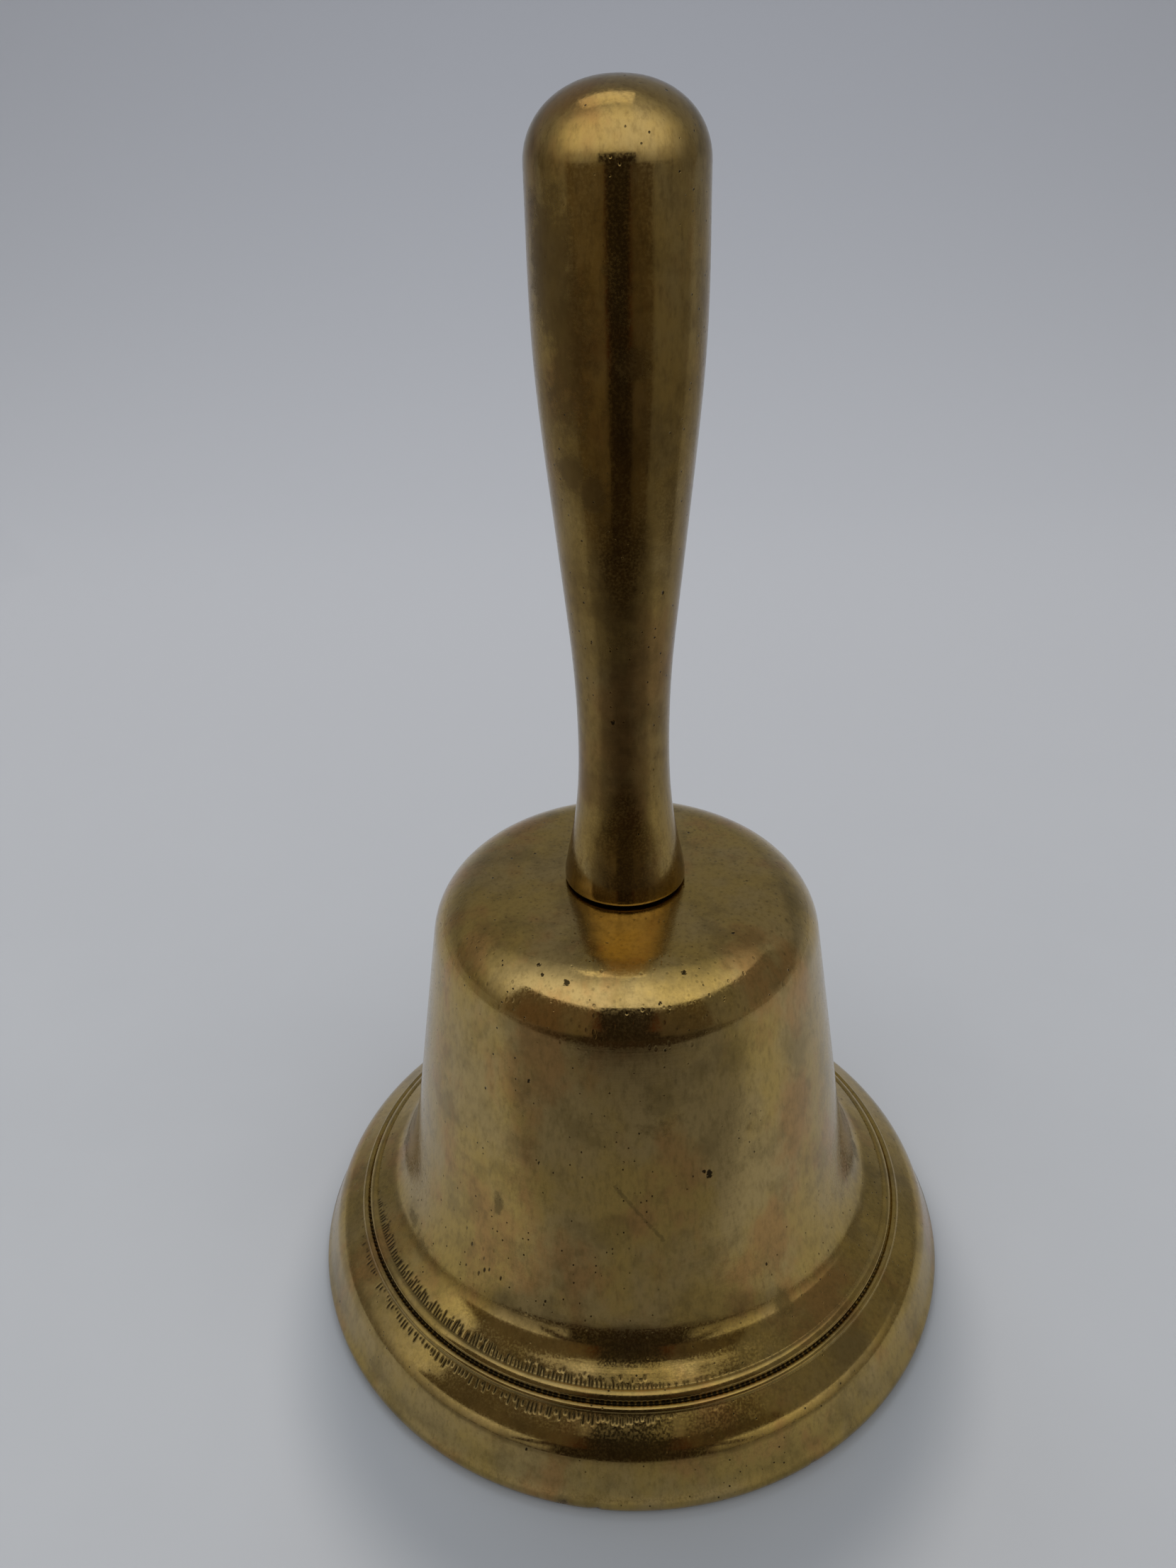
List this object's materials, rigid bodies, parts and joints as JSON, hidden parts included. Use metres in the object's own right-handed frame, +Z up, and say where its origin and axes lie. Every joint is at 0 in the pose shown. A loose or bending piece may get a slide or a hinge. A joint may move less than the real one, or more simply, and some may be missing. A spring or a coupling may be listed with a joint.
{
  "type": "hand bell",
  "caption": "Brass hand bell with a flared mouth, upright club-shaped brass handle, and a clapper that swings inside on a pinned fork.",
  "frame": {"origin": "centre of the mouth, on the plane that the rim rests on", "axes": "+Z up along the bell and handle, away from the mouth; -Y is the front; the clapper swings front to back about +X"},
  "size_m": [0.1008, 0.1008, 0.1677],
  "materials": {
    "bell_brass": "turned cast brass, polished, with aged patina, stains and casting pits",
    "handle_brass": "turned solid brass, hand worn",
    "foot_leather": "thin dark leather or fibre washer",
    "plated_steel": "dulled zinc plate",
    "hanger_steel": "mild steel with light rust in the corners",
    "clapper_steel": "mild steel rod",
    "clapper_brass": "turned brass with strike marks"
  },
  "bodies": {
    "bell": {"bell_shell": "bell_brass", "handle": "handle_brass", "foot_washer": "foot_leather", "crown_washer": "plated_steel", "lock_washer": "plated_steel", "crown_nut": "plated_steel", "hanger_fork": "hanger_steel", "pivot_pin": "hanger_steel"},
    "clapper": {"clapper_rod": "clapper_steel", "clapper_ball": "clapper_brass", "ball_nut": "clapper_brass"}
  },
  "joints": [
    {"name": "clapper_swing", "type": "hinge", "parent": "bell", "child": "clapper", "pos_m": [0, 0, 0.0515], "axis": [1, 0, 0], "range_deg": [-35.5, 35.5]}
  ]
}
